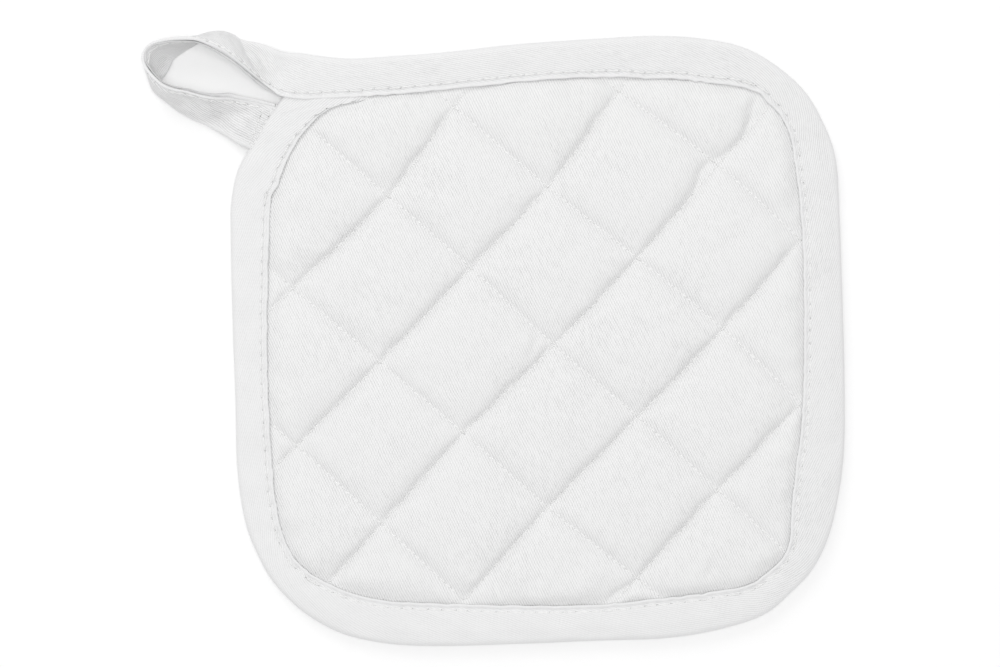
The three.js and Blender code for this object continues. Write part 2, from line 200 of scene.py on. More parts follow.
PATCH_GAIN = 1.4
PATCH_BASE = 0.3
WALE_DEPTH = 0.14
PAINTED_TROUGH_SHADE = 0.77  # painted shade of the cloth in the troughs between the wales, against the cloth on them
TINT_GAIN = 1.3  # how fast that painted shade goes over to the colour, with height
TINT_PATCH_GAIN = 0.3  # and from place to place
TINT_BASE = -0.28
LOWER_LEFT_WALES = 0.5  # strength of the wales and their painted trough shade on the lower left of the binding
LOWER_LEFT_SPREAD = 60.0  # stronger over this far to each side of the middle
LOOP_WALES = 1.5  # and on the loop
WALES_PAST_STITCH = (0.35, 0.7)  # they begin between these shares of the stitch's inset
WALES_PAST_FOLD = (0.3, 2.5)  # and end between these distances from the fold
THREAD_COLOR = (0.91, 0.91, 0.905)
THREAD_ROUGHNESS = 0.7
THREAD_SHEEN = 0.1
# painted shadow on the thread at its needle holes
HOLE_SHADOW_COLOR = (0.38, 0.38, 0.38)
TWIST_PITCH = 0.7
TWIST_PLIES = 2.0
TWIST_DEPTH = 0.08
TABLE_COLOR = (0.86, 0.86, 0.86)
TABLE_ROUGHNESS = 0.95
TABLE_GLOW = 0.10
TABLE_GRAIN_RATE = 0.4
TABLE_GRAIN_DETAIL = 3.0
TABLE_GRAIN_DEPTH = 0.02

# ---- Camera (mm), light and table (metres and watts) ----
SENSOR = 36.0
LENS = 100.0
FRAME_WIDTH = 1000 / 3  # the photograph is 1000 pixels wide, three to a millimetre
FRAME_CENTRE = (2.07, 1.84)
FOCUS_HEIGHT = 4.5  # height at which that scale holds
CAMERA_DISTANCE = FRAME_WIDTH * LENS / SENSOR  # above that height
LIT_PLACE = (0, 0, 0)  # both lights point here
LIGHTS = [  # name, place, size, power
    ("softbox", (-0.45, 0.95, 0.85), 0.8, 3.2),
    ("overhead", (0.0, 0.0, 2.0), 1.0, 14.0),
]
WORLD_LIGHT = 0.645
TABLE_SIZE = 4
TABLE_TOP = -0.0002  # just under the part

# ---- Where the tape lies: one row per section ----
BINDING_ROWS = [  # rim x, rim y, hem x, hem y: down the left side, round, and back along the top
    (-69.4, 83.0, -39.5, 83.3), (-71.5, 79.6, -42.7, 80.3), (-76.3, 72.9, -55.7, 76.4),
    (-82.0, 62.9, -67.0, 63.9), (-85.3, 57.2, -70.3, 56.2), (-87.7, 45.9, -74.3, 45.2),
    (-87.8, 31.6, -74.9, 31.6),
    (-87.2, 4.9, -75.4, 4.9), (-86.3, -20.1, -75.1, -19.4), (-85.5, -45.1, -73.6, -44.4),
    (-82.7, -62.1, -71.5, -60.8), (-79.3, -70.8, -68.7, -68.8), (-74.7, -79.4, -65.3, -74.1),
    (-68.3, -86.8, -60.3, -78.4), (-60.7, -92.9, -54.7, -81.2), (-50.3, -98.2, -47.3, -84.4),
    (-36.3, -101.3, -35.7, -86.8), (-21.3, -102.2, -21.3, -87.6), (8.7, -101.5, 8.7, -88.5),
    (35.3, -100.4, 34.7, -88.1), (57.0, -99.6, 55.3, -86.1), (74.7, -96.8, 72.3, -83.9),
    (90.7, -91.4, 85.3, -81.4), (99.3, -84.2, 92.3, -76.4), (106.0, -77.1, 96.7, -71.8),
    (111.3, -66.8, 98.3, -65.8), (114.7, -53.4, 99.5, -51.8), (116.7, -38.4, 101.3, -37.4),
    (117.0, -15.1, 103.0, -16.1), (116.2, 16.6, 103.1, 16.6), (115.3, 41.6, 102.2, 40.9),
    (114.0, 60.6, 100.2, 58.9), (110.7, 70.6, 97.5, 70.6), (103.7, 82.9, 92.7, 77.9),
    (92.0, 93.0, 86.0, 82.9), (82.3, 97.9, 78.7, 84.6), (68.7, 100.6, 67.0, 86.2),
    (53.7, 101.4, 52.0, 87.0), (32.0, 100.3, 32.0, 87.2), (8.7, 98.7, 9.7, 85.9),
    (-18.0, 95.8, -16.7, 83.2), (-36.3, 94.5, -35.3, 81.6),
]
LEAVING_ROWS = [  # rim x, rim y, hem x, hem y, pocket, gape, fold half, hem half
    (-48.0, 93.8, -47.3, 80.8, 1.2, 3.6, 2.8, 3.0), (-58.7, 94.8, -58.0, 80.2, 3.4, 3.6, 2.0, 3.0),
    (-64.7, 95.6, -64.3, 80.1, 7.2, 3.6, 1.5, 3.0), (-70.8, 96.2, -70.7, 80.9, 11.8, 2.4, 1.3, 2.8),
]
PAD_CORNER_ROWS = [  # x, y of the pad's edge where the loop leaves
    (-54.0, 91.4), (-60.3, 89.6), (-65.0, 86.7), (-68.0, 83.4), (-69.8, 79.7),
]
SQUEEZED_PLACE = PAD_CORNER_ROWS[3]
PAD_FROM_ROWS = (2, 1)  # rows at which the pad's edge and the mouth of its hollow begin
LOOP_ROWS = [  # hem x, y, z, fold x, y, z, belly: how far the strip bows outward
    (-74.3, 83.1, 3.4, -75.3, 97.9, 2.7, 0.0), (-77.3, 85.6, 4.6, -79.3, 99.1, 2.2, 0.4),
    (-81.0, 88.9, 7.6, -82.7, 99.8, 1.6, 0.8), (-84.7, 91.9, 10.0, -85.3, 100.8, 1.0, 1.1),
    (-91.3, 96.2, 12.0, -90.3, 102.2, 0.6, 1.1), (-98.0, 99.5, 13.0, -96.3, 101.2, 0.4, 0.6),
    (-101.3, 100.2, 13.1, -99.7, 98.9, 0.4, 0.2), (-108.0, 100.0, 11.9, -104.0, 95.9, 0.6, 0.4),
    (-114.0, 98.6, 9.9, -107.0, 93.2, 0.9, 0.8), (-116.0, 96.6, 9.2, -107.5, 91.9, 1.0, 1.1),
    (-116.8, 94.2, 9.4, -108.0, 90.9, 1.0, 1.5), (-116.3, 91.9, 10.4, -108.7, 89.4, 0.8, 2.0),
    (-115.0, 89.8, 11.8, -109.5, 88.2, 0.6, 2.4), (-113.0, 87.6, 12.9, -110.7, 86.8, 0.4, 2.4),
    (-110.7, 85.6, 13.2, -111.7, 84.6, 0.4, 2.0), (-107.3, 84.0, 12.5, -109.7, 80.6, 0.5, 1.4),
    (-102.3, 82.9, 11.1, -105.3, 76.6, 0.7, 0.8), (-98.0, 81.6, 10.2, -100.7, 73.9, 0.9, 0.4),
    (-93.0, 80.9, 8.4, -96.0, 71.4, 1.2, 0.0), (-88.3, 80.9, 5.6, -91.3, 68.9, 1.6, -0.5),
    (-84.7, 80.1, 4.0, -88.0, 66.9, 2.1, -0.3), (-80.7, 79.4, 3.2, -85.3, 65.2, 2.8, 0.0),
    (-74.0, 77.9, 3.0, -82.4, 64.0, 3.0, 0.0), (-71.2, 77.1, 3.0, -79.8, 62.8, 3.0, 0.0),
]
CROSSINGS = [  # rising lines (rows) by falling lines (pairs)
    [(10.0, 108.6), (-13.3, 77.6), (-35.3, 47.9), (-67.0, 17.2), (-95.3, -10.8)],
    [(41.7, 82.9), (18.0, 50.9), (-7.7, 23.9), (-38.0, -7.4), (-65.7, -35.4)],
    [(74.7, 58.2), (47.7, 27.2), (20.0, -1.8), (-10.0, -31.2), (-37.3, -61.4)],
    [(102.3, 33.2), (76.3, 3.6), (48.0, -25.8), (18.0, -55.8), (-9.7, -86.8)],
    [(130.0, 7.9), (102.3, -21.1), (74.7, -50.1), (47.7, -79.4), (20.0, -110.1)],
]
LOOP_FIRST_ROW = len(BINDING_ROWS) + len(LEAVING_ROWS)

# ---- Unevenness put in one by one ----
PAD_CREASES = [  # from x, y to x, y; height; half width; 1 for a sharp crease, 2 for a round one
    (67.0, 52.0, 60.7, 42.3, -0.70, 1.5, 1), (36.0, 80.9, 30.3, 67.3, -0.25, 1.2, 2),
    (14.3, 1.5, 11.3, -8.0, -0.90, 1.4, 1), (52.0, 86.6, 53.7, 75.6, -0.35, 1.0, 1),
    (-58.3, 76.5, -58.9, 68.6, -0.60, 0.8, 1), (-73.0, 52.3, -61.7, 50.7, -0.60, 1.2, 2),
    (25.3, -73.4, 17.0, -86.8, -0.20, 1.4, 2), (74.7, -71.5, 69.0, -81.5, -1.40, 1.5, 1),
]
TAPE_CREASES = [  # the same, on the tape's upper face
    (-86.3, 102.9, -77.4, 86.0, -1.5, 2.2, 1), (-61.6, 95.3, -66.2, 85.4, -0.55, 1.4, 2),
    (-96.1, 73.0, -77.5, 76.8, -1.3, 2.3, 2), (-109.7, 80.9, -88.7, 77.4, -1.2, 1.8, 2),
    (-71.6, 81.2, -81.6, 62.0, -0.30, 0.6, 1), (-76.6, 78.2, -82.3, 63.2, -0.30, 0.6, 1),
]
WIDE_FOLDS = [  # x, y; how much further out than SEAM_LEDGE the cover folds there; reach
    (86.5, 80.5, 4.2, 8.0), (69.6, 58.0, 3.1, 6.0), (39.5, -86.5, 2.0, 6.0),
]
HEM_NICKS = [  # x, y of a place on the hem; how far it strays inward; reach
    (90.7, 78.6, 0.5, 1.6), (88.6, 81.3, -0.3, 1.4), (-71.5, 51.6, 0.6, 1.7),
    (-73.9, 47.6, -0.4, 2.2), (-56.5, 75.8, 0.45, 1.3), (-52.6, 78.9, -0.3, 1.3),
    (50.3, 86.8, 0.35, 0.9), (67.0, 86.2, 0.4, 1.0), (70.5, 85.8, 0.45, 0.9),
    (102.8, -23.7, 0.3, 1.0), (69.3, -84.5, -0.35, 1.0), (40.1, -87.9, 0.35, 0.9),
    (-28.3, -87.2, 0.3, 1.0), (-73.7, -43.9, 0.3, 1.2), (-62.4, -76.3, 0.3, 1.0),
]
TACK_ROWS = [  # rows of stitching that hold the loop's end, from x, y to x, y
    (-71.6, 81.2, -81.6, 62.0), (-76.6, 78.2, -82.3, 63.2), (-72.0, 53.6, -75.4, 54.6),
]


# ---- Curves ----
def knot_step(a, b):
    """Root of the distance between points, which spaces the knots of a centripetal spline."""
    return np.maximum(np.linalg.norm(b - a, axis=-1, keepdims=True), 1e-6) ** 0.5


def spline(points, t):
    """Centripetal Catmull-Rom through the points, at t from 0 to the number of spans."""
    p = np.vstack([2 * points[0] - points[1], points, 2 * points[-1] - points[-2]])
    i = np.clip(np.floor(t).astype(int), 0, len(p) - 4)
    w = (t - i)[..., None]
    p0, p1, p2, p3 = p[i], p[i + 1], p[i + 2], p[i + 3]
    d0, d1, d2 = knot_step(p0, p1), knot_step(p1, p2), knot_step(p2, p3)
    m1 = ((p1 - p0) / d0 - (p2 - p0) / (d0 + d1) + (p2 - p1) / d1) * d1
    m2 = ((p2 - p1) / d1 - (p3 - p1) / (d1 + d2) + (p3 - p2) / d2) * d1
    w2, w3 = w * w, w * w * w
    return ((2 * w3 - 3 * w2 + 1) * p1 + (w3 - 2 * w2 + w) * m1
            + (3 * w2 - 2 * w3) * p2 + (w3 - w2) * m2)


def smooth(low, high, value):
    """From 0 at low to 1 at high, level at both ends."""
    t = np.clip((value - low) / (high - low), 0, 1)
    return t * t * (3 - 2 * t)


def unit(v):
    """Vectors of the same directions and length 1."""
    return v / np.maximum(np.linalg.norm(v, axis=-1, keepdims=True), 1e-9)


def added_up(steps):
    """How far each step begins from the start, and where the last one ends."""
    return np.concatenate([[0], np.cumsum(steps)])


def along(points):
    """Distance along a line of points."""
    return added_up(np.linalg.norm(np.diff(points, axis=0), axis=1))


def wander(s, step, seed):
    """Smooth random values, about -1 to 1, along a distance; step is the length of one bump."""
    values = np.random.default_rng(seed).uniform(-1, 1, int(np.max(s) / step) + 4)
    x = np.maximum(s, 0) / step
    i = np.floor(x).astype(int)
    f = smooth(0, 1, x - i)
    return values[i] * (1 - f) + values[i + 1] * f


def waves(x, y, length, seed):
    """Smooth random field, about -1 to 1, with bumps of about the given length."""
    rng = np.random.default_rng(seed)
    total = np.zeros_like(x)
    for _ in range(WAVE_COUNT):
        heading = rng.uniform(0, 2 * math.pi)
        wave = 2 * math.pi / (length * rng.uniform(*WAVE_SPREAD))
        phase = rng.uniform(0, 2 * math.pi)
        total += np.sin(wave * (x * math.cos(heading) + y * math.sin(heading)) + phase)
    return total / math.sqrt(WAVE_COUNT)


def nearest(x, y, line, closed=False):
    """Distance to a line of points, the distance along it there, and the nearest point."""
    a = np.asarray(line, float)[:, :2]
    b = np.roll(a, -1, axis=0)
    if not closed:
        a, b = a[:-1], b[:-1]
    length = np.linalg.norm(b - a, axis=1)
    start = added_up(length)
    flat = np.stack([np.ravel(x), np.ravel(y)], axis=1)
    best = np.full(len(flat), 1e9)
    run = np.zeros(len(flat))
    spot = np.zeros((len(flat), 2))
    for k in range(len(a)):
        d = b[k] - a[k]
        share = np.clip(((flat - a[k]) @ d) / max(d @ d, 1e-12), 0, 1)
        foot = a[k] + share[:, None] * d
        away = np.hypot(*(flat - foot).T)
        closer = away < best
        best[closer] = away[closer]
        run[closer] = start[k] + share[closer] * length[k]
        spot[closer] = foot[closer]
    shape = np.shape(x)
    return best.reshape(shape), run.reshape(shape), spot.reshape(shape + (2,))


def inside(x, y, loop):
    """Which points lie inside a closed line."""
    odd = np.zeros(np.shape(x), bool)
    for (ax, ay), (bx, by) in zip(loop, np.roll(loop, -1, axis=0)):
        crosses = (ay > y) != (by > y)
        odd ^= crosses & (x < (bx - ax) * (y - ay) / (by - ay + 1e-12) + ax)
    return odd


# ---- Meshes ----
def to_frame(points):
    """Table millimetres to metres in the part's frame."""
    return (np.asarray(points) + np.array([*TABLE_ORIGIN, 0])) * MM


def put_in_scene(name, data, place=(0, 0, 0)):
    """A new object with this mesh, light or camera."""
    made = bpy.data.objects.new(name, data)
    made.location = place
    bpy.context.scene.collection.objects.link(made)
    return made


def make_mesh(name, points, faces, material, weave=None):
    """A smooth-shaded piece from table millimetres; weave is a vector for each point."""
    mesh = bpy.data.meshes.new(name)
    mesh.from_pydata(to_frame(points).tolist(), [], faces)
    mesh.validate()
    if weave is not None:
        layer = mesh.attributes.new("weave", "FLOAT_VECTOR", "POINT")
        layer.data.foreach_set("vector", np.asarray(weave, np.float32).ravel())
    mesh.polygons.foreach_set("use_smooth", [True] * len(mesh.polygons))
    mesh.materials.append(material)
    return put_in_scene(name, mesh)


def tube_faces(count, ring, base=0):
    """Faces of a tube: count rings of points one after the other, numbered from base on."""
    k, i = np.meshgrid(np.arange(count - 1), np.arange(ring), indexing="ij")
    a, b = base + k * ring + i, base + k * ring + (i + 1) % ring
    return np.stack([a, b, b + ring, a + ring], axis=-1).reshape(-1, 4).tolist()


# ---- Where the tape runs ----
def seen_at(x, y, z):
    """The point at height z that hides (x, y) at the focus height from the camera."""
    centre_x, centre_y = np.subtract(FRAME_CENTRE, TABLE_ORIGIN)
    nearer = 1 - (z - FOCUS_HEIGHT) / CAMERA_DISTANCE
    return centre_x + (x - centre_x) * nearer, centre_y + (y - centre_y) * nearer, z


def tape_rows():
    """Sections of the tape: fold, hem, (pocket, gape, half at fold, half at hem), belly."""
    rows = []
    halves = [*START_HALVES] + [MIDDLE] * (len(BINDING_ROWS) - len(START_HALVES))
    bound = [(*row, LEAF, RIM_HEIGHT - 2 * LEAF, half, half) for row, half in zip(BINDING_ROWS, halves)]
    for rim_x, rim_y, hem_x, hem_y, *sizes in bound + LEAVING_ROWS:
        rows.append(((rim_x, rim_y, MIDDLE), (hem_x, hem_y, MIDDLE), sizes, 0.0))
    for k, (hem_x, hem_y, hem_z, fold_x, fold_y, fold_z, belly) in enumerate(LOOP_ROWS):
        fold, hem = seen_at(fold_x, fold_y, fold_z), seen_at(hem_x, hem_y, hem_z)
        thin = min(1.0, (k + 1) / ROOT_SECTIONS)
        root = (1 - thin) * np.array(ROOT_EXTRA)
        sizes = np.array((math.dist(fold, hem) - SLIT_DEPTH, SLIT_WIDTH, STRIP_HALF, STRIP_HALF))
        rows.append((fold, hem, sizes + root, belly))
    return rows


def tape_stations():
    """Even stations along the tape, as arrays: fold, hem, frame, sizes, and distance run."""
    rows = tape_rows()
    folds = np.array([row[0] for row in rows])
    hems = np.array([row[1] for row in rows])
    sizes = np.array([(*row[2], row[3]) for row in rows])
    fine = np.linspace(0, len(rows) - 1, RUN_SAMPLES * (len(rows) - 1) + 1)
    steps = [np.linalg.norm(np.diff(spline(line, fine), axis=0), axis=1) for line in (folds, hems)]
    run = added_up(np.maximum(*steps))
    row = np.interp(np.linspace(0, run[-1], int(run[-1] / STATION_STEP) + 1), run, fine)
    fold, hem = spline(folds, row), spline(hems, row)
    across = unit(hem - fold)
    tangent = unit(np.gradient(fold, axis=0) + np.gradient(hem, axis=0))
    names = ("pocket", "gape", "fold_half", "hem_half", "belly")
    sized = {name: np.interp(row, np.arange(len(rows)), sizes[:, k]) for k, name in enumerate(names)}
    fold_step, hem_step = (np.linalg.norm(np.gradient(line, axis=0), axis=1) for line in (fold, hem))
    return SimpleNamespace(
        **sized, fold=fold, hem=hem, across=across, up=unit(np.cross(tangent, across)),
        tangent=tangent, row=row, run=along(hem), width=np.linalg.norm(hem - fold, axis=1),
        gather=np.clip(1 - hem_step / np.maximum(fold_step, 1e-6), 0, MOST_GATHER),
        middle_run=along((fold + hem) / 2), lean=np.sum(across * tangent, axis=1),
        in_loop=smooth(LOOP_FIRST_ROW - 1, LOOP_FIRST_ROW + 1, row))


def hem_nicks(tape):
    """How far the hem strays from its line where the sewing caught the cloth unevenly."""
    x, y = tape.hem[:, 0], tape.hem[:, 1]
    stray = 0
    for k, step in enumerate(HEM_STRAY_STEPS):
        stray = stray + HEM_STRAY * wander(tape.run, step, HEM_SEED + k)
    for nick_x, nick_y, depth, reach in HEM_NICKS:
        away = np.hypot(x - nick_x, y - nick_y) / reach
        stray = stray + depth * np.exp(-away * away)
    return stray * (1 - tape.in_loop)


# ---- The tape's section ----
def stitch_inset(tape):
    """How far the topstitch lies from the hem, at each station."""
    return TOPSTITCH_INSET + (LOOP_STITCH_INSET - TOPSTITCH_INSET) * tape.in_loop


def leaf_height(tape, u):
    """Height of the tape's face over its middle, at distance u from the fold (stations by samples)."""
    pocket, fold_half, hem_half, width, run, in_loop = (each[:, None] for each in (
        tape.pocket, tape.fold_half, tape.hem_half, tape.width, tape.run, tape.in_loop))
    swell = smooth(pocket + LEAF_CHANGE[0], pocket + LEAF_CHANGE[1], u)
    body = fold_half + (hem_half - fold_half) * swell
    turn = 1 - np.clip(u / (body * RIM_SPREAD), 0, 1)
    height = body * np.sqrt(np.maximum(1 - turn ** 2, 0))
    inset = width - u
    hem_turn = 1 - np.clip(inset / HEM_ROUND, 0, 1)
    height = height - HEM_ROUND * (1 - np.sqrt(np.maximum(1 - hem_turn ** 2, 0)))
    from_groove = np.abs(inset - GROOVE_INSET * stitch_inset(tape)[:, None])
    beads = 1 - HOLE_DIP * np.cos(2 * math.pi * run / STITCH_PITCH)
    dip = STITCH_DIP * (1 - LOOP_DIP_LOSS * in_loop) * beads
    hollow = RIM_HOLLOW * np.exp(-((u - RIM_HOLLOW_PLACE) / RIM_HOLLOW_REACH) ** 2)
    return height - dip * smooth(STITCH_REACH, 0.0, from_groove) - hollow * (1 - in_loop)


def face_relief(tape, u, seed):
    """Unevenness of one face: slow waves, and gathers where the hem is eased in."""
    run = tape.run[:, None] + 0 * u
    inset = tape.width[:, None] - u
    slow = 0
    for k, (length, height, squeeze) in enumerate(RELIEF_WAVES):
        slow = slow + waves(run, inset * squeeze, length, seed + k) * height
    gathers = wander(tape.run, GATHER_PITCH, seed + len(RELIEF_WAVES))[:, None]
    gathers = gathers * np.exp(-np.abs(inset - GATHER_PLACE) / GATHER_REACH)
    strength = GATHER_LEAST + GATHER_GAIN * tape.gather[:, None]
    fade = smooth(0.0, FOLD_CALM, u)
    return (slow + gathers * strength * smooth(0, GATHER_CALM, inset)) * fade


def face_height(tape, u, side):
    """Height of a whole face over the strip's middle: side 1 the top, -1 the underside."""
    if side > 0:
        return leaf_height(tape, u) + face_relief(tape, u, FACE_SEEDS[1])
    return -leaf_height(tape, u) - UNDER_RELIEF * face_relief(tape, u, FACE_SEEDS[-1])


def crease_shift(tape, u, side):
    """How creases move a face: all of the loop, but only the upper face of the binding."""
    middle = bent(tape, u, 0 * u)
    lift = crease_lift(middle[..., 0], middle[..., 1], TAPE_CREASES)
    return lift * np.where(side > 0, 1, tape.in_loop[:, None])


def lip_samples(tape):
    """The inside of one leaf as (u, v), from the hem to the bottom of the pocket or slit."""
    width, pocket = tape.width[:, None], tape.pocket[:, None]
    lip = tape.gape[:, None] / 2
    depth = np.minimum(LIP_DEPTH, (width - pocket) / 2)
    inner_u = np.concatenate([width, width - depth * LIP_STEP, width - depth, pocket], axis=1)
    rounding = np.array(LIP_ROUNDING) * np.minimum(1, tape.hem_half[:, None] - lip)
    return inner_u, lip + rounding


def tape_ring(tape):
    """The section's points u, v: hem to fold on top, back underneath, and round the inside. Then
    the leaf each is on, -1 the upper and 1 the lower, and how many are on the top face."""
    width = tape.width[:, None]
    hem_u = width - np.array(HEM_SAMPLES)
    fold_u = np.array(FOLD_SAMPLES[::-1]) + 0 * width
    share = np.linspace(0, 1, MIDDLE_SAMPLES + 2)[1:-1]
    middle_u = hem_u[:, -1:] + (fold_u[:, :1] - hem_u[:, -1:]) * share
    u = np.concatenate([hem_u, middle_u, fold_u], axis=1)
    top, under = face_height(tape, u, 1), face_height(tape, u, -1)
    inner_u, inner_v = lip_samples(tape)
    shift = SLIT_SHIFT * tape.in_loop[:, None]
    reach = LIP_STAGGER * (tape.in_loop * (1 - tape.across[:, 2] ** 2))[:, None]
    under_u = u + reach * smooth(STAGGER_FROM, 1.0, u / width)
    lower_u = inner_u + reach * smooth(STAGGER_FROM, 1.0, inner_u / width)
    ring_u = np.concatenate([u, 0 * width, under_u[:, ::-1], lower_u, inner_u[:, ::-1]], axis=1)
    ring_v = np.concatenate([top, 0 * width, under[:, ::-1], -inner_v - shift,
                             inner_v[:, ::-1] - shift], axis=1)
    outer, inner = u.shape[1], inner_u.shape[1]
    leaf = np.repeat((-1, 1, -1), (outer + 1, outer + inner, inner))
    return ring_u, ring_v, leaf, outer


def bent(tape, u, v, stray=0.0):
    """Points at distance u from the fold and v off the middle of the strip, which bows outward."""
    share = np.clip(u / tape.width[:, None], 0, 1)
    bow = tape.belly[:, None] * np.sin(math.pi * share)
    slope = tape.belly[:, None] * math.pi / tape.width[:, None] * np.cos(math.pi * share)
    cosine = 1 / np.sqrt(1 + slope ** 2)
    along_strip = u + stray - v * slope * cosine
    off_strip = bow + v * cosine
    return (tape.fold[:, None] + tape.across[:, None] * along_strip[..., None]
            + tape.up[:, None] * off_strip[..., None])


def wales_showing(tape, points, u):
    """How strongly the wales and their painted trough shade show: less on the lower left, by the
    stitches and by the fold.
    """
    from_stitch = (tape.width[:, None] - u) / stitch_inset(tape)[:, None]
    off_stitches = smooth(*WALES_PAST_STITCH, from_stitch) * smooth(*WALES_PAST_FOLD, u)
    upper_right = smooth(-LOWER_LEFT_SPREAD, LOWER_LEFT_SPREAD, points[..., 0] + points[..., 1])
    in_loop = tape.in_loop[:, None]
    # weaker wales and less painted trough shade on the lower left of the binding
    by_side = LOWER_LEFT_WALES + (1 - LOWER_LEFT_WALES) * np.maximum(upper_right, in_loop)
    return off_stitches * (by_side + (LOOP_WALES - 1) * in_loop)


def tape_points(tape):
    """The tape's points, and each one's place along and across the cloth and strength of wales."""
    u, v, leaf, face_count = tape_ring(tape)
    stray = hem_nicks(tape)[:, None] * smooth(STRAY_FROM, 1.0, u / tape.width[:, None])
    on_top = np.where(np.arange(u.shape[1]) < face_count, 1, -1)
    points = bent(tape, u, v + crease_shift(tape, u, on_top), stray)
    width, lean = tape.width[:, None], tape.lean[:, None]
    along_cloth = tape.middle_run[:, None] + (u - width / 2) * lean
    across_cloth = (width + leaf * u) * np.sqrt(1 - lean ** 2)
    first = int(np.searchsorted(tape.row, FLAT_START_ROWS))
    heading = tape.tangent[first]
    sideways = np.cross(tape.up[first], heading)
    from_first = points[:first] - (tape.fold[first] + tape.hem[first]) / 2
    half = width[first] / 2 * np.sqrt(1 - lean[first] ** 2)
    along_cloth[:first] = tape.middle_run[first] + from_first @ heading
    across_cloth[:first] = half * (2 + leaf) + leaf * (from_first @ sideways)
    return points, np.stack([along_cloth, across_cloth, wales_showing(tape, points, u)], axis=-1)


def tape_mesh(tape, material):
    """The whole tape, binding and loop, closed at both cut ends."""
    points, weave = tape_points(tape)
    count, ring = points.shape[:2]
    faces = tube_faces(count, ring)
    for first in (0, (count - 1) * ring):
        for i in range(ring // 2 - 1):
            quad = [first + i, first + i + 1, first + ring - 2 - i, first + ring - 1 - i]
            faces.append(quad if first == 0 else quad[::-1])
    return make_mesh("tape", points.reshape(-1, 3), faces, material, weave.reshape(-1, 3))


# ---- The pad ----
def crease_lift(x, y, creases):
    """How much the listed creases raise the cloth at each point."""
    lift = np.zeros(np.shape(x))
    for x0, y0, x1, y1, height, reach, roundness in creases:
        away, run, _ = nearest(x, y, [(x0, y0), (x1, y1)])
        share = np.clip(run / math.hypot(x1 - x0, y1 - y0), CREASE_END, 1 - CREASE_END)
        lift += height * np.sin(math.pi * share) ** CREASE_TAPER * np.exp(-(away / reach) ** roundness)
    return lift


def carried_on(table):
    """A table of crossings with one more line on each side, carried on straight."""
    for _ in range(2):
        table = np.concatenate([2 * table[:1] - table[1:2], table, 2 * table[-1:] - table[-2:-1]])
        table = np.swapaxes(table, 0, 1)
    return table


def quilt_points(p, q):
    """Points at every pair of line numbers p (rising lines) and q (falling lines)."""
    table = carried_on(np.array(CROSSINGS))
    columns = np.stack([spline(table[:, j], p) for j in range(table.shape[1])], axis=1)
    return np.stack([spline(row, q) for row in columns])


def line_numbers():
    """Line numbers of the grid, closer together by the seams."""
    t = np.arange(0, CELLS * CELL_SAMPLES + 1) / CELL_SAMPLES
    return t - SEAM_CROWDING * np.sin(2 * math.pi * t) / (2 * math.pi)


def from_line(number):
    """Distance to the nearest quilting line, given a line number that need not be whole."""
    return np.abs(number - np.round(number)) * CELL


def bank(away, fold=0):
    """Share of the cover's rise reached at a distance from a seam; fold is its fold's share."""
    bank_share = 1 - SWELL_SHARE - fold
    return (1 - fold * np.exp(-away / FOLD_RUN) - bank_share * np.exp(-away / BANK_RUN)
            - SWELL_SHARE * np.exp(-away / SWELL_RUN))


def puckers(p, q, face):
    """Short wrinkles across the seams, on face 0 the top or 1 the underside."""
    lift = np.zeros(p.shape)
    face_step, family_step, line_step = PUCKER_SEED_STEPS
    for family, (number, other) in enumerate(((p, q), (q, p))):
        line = np.round(number)
        away = from_line(number)
        near = np.exp(-away / PUCKER_REACH) * (1 - np.exp(-away / PUCKER_START))
        for k in range(CELLS + 1):
            for beyond in (False, True):
                on = (line == k) & ((number > line) == beyond)
                seed = SEED + face_step * face + family_step * family + line_step * k + beyond
                wrinkle = wander(other * CELL + PUCKER_SLANT * away, PUCKER_PITCH, seed)
                lift += np.where(on, PUCKER_HEIGHTS[family] * near * wrinkle, 0)
    return lift


def ledge_width(x, y):
    """How far beyond the stitches of a rising line the cover folds over."""
    ledge = SEAM_LEDGE * (1 + LEDGE_CHANGE * waves(x, y, LEDGE_WAVE, LEDGE_SEED))
    for fold_x, fold_y, extra, reach in WIDE_FOLDS:
        ledge = ledge + extra * np.exp(-((x - fold_x) ** 2 + (y - fold_y) ** 2) / reach ** 2)
    return ledge


def edge_swell(x, y, from_mouth):
    """Share of the way from the pad's edge to its full height, at a distance from the binding."""
    change = EDGE_RISE_CHANGE * waves(x, y, EDGE_RISE_WAVE, EDGE_RISE_SEED)
    return 1 - np.exp(-from_mouth / (EDGE_RISE * (1 + change)))


def corner_squeeze(x, y):
    """How much the loop's root presses the pad's edge in, on each face."""
    away = np.hypot(x - SQUEEZED_PLACE[0], y - SQUEEZED_PLACE[1]) / CORNER_REACH
    return CORNER_SQUEEZE * np.exp(-away ** 2)


def top_height(p, q, x, y, from_mouth, by_mouth):
    """Height of the pad's top, at a distance from the binding's mouth and along it."""
    overhung = p < np.round(p)
    away_p = np.maximum(from_line(p) - np.where(overhung, ledge_width(x, y), 0), 0)
    rise_p = bank(away_p, np.where(overhung, FOLD_SHARE, 0))
    rise_q = bank(from_line(q))
    relief = puckers(p, q, 0) + HEAVE * waves(x, y, HEAVE_WAVE, HEAVE_SEED) * rise_p * rise_q
    relief = relief + crease_lift(x, y, PAD_CREASES)
    drawn_in = np.exp(-from_mouth / DRAWN_IN_REACH) * (1 - np.exp(-from_mouth / DRAWN_IN_START))
    relief = relief + DRAWN_IN_HEIGHT * drawn_in * wander(by_mouth, DRAWN_IN_PITCH, DRAWN_IN_SEED)
    quilted = RISING_SEAM_TOP + FALLING_SEAM_LIFT * rise_p + CROWN_LIFT * rise_p * rise_q + relief
    edge = EDGE_TOP - corner_squeeze(x, y)
    return edge + (quilted - edge) * edge_swell(x, y, from_mouth)


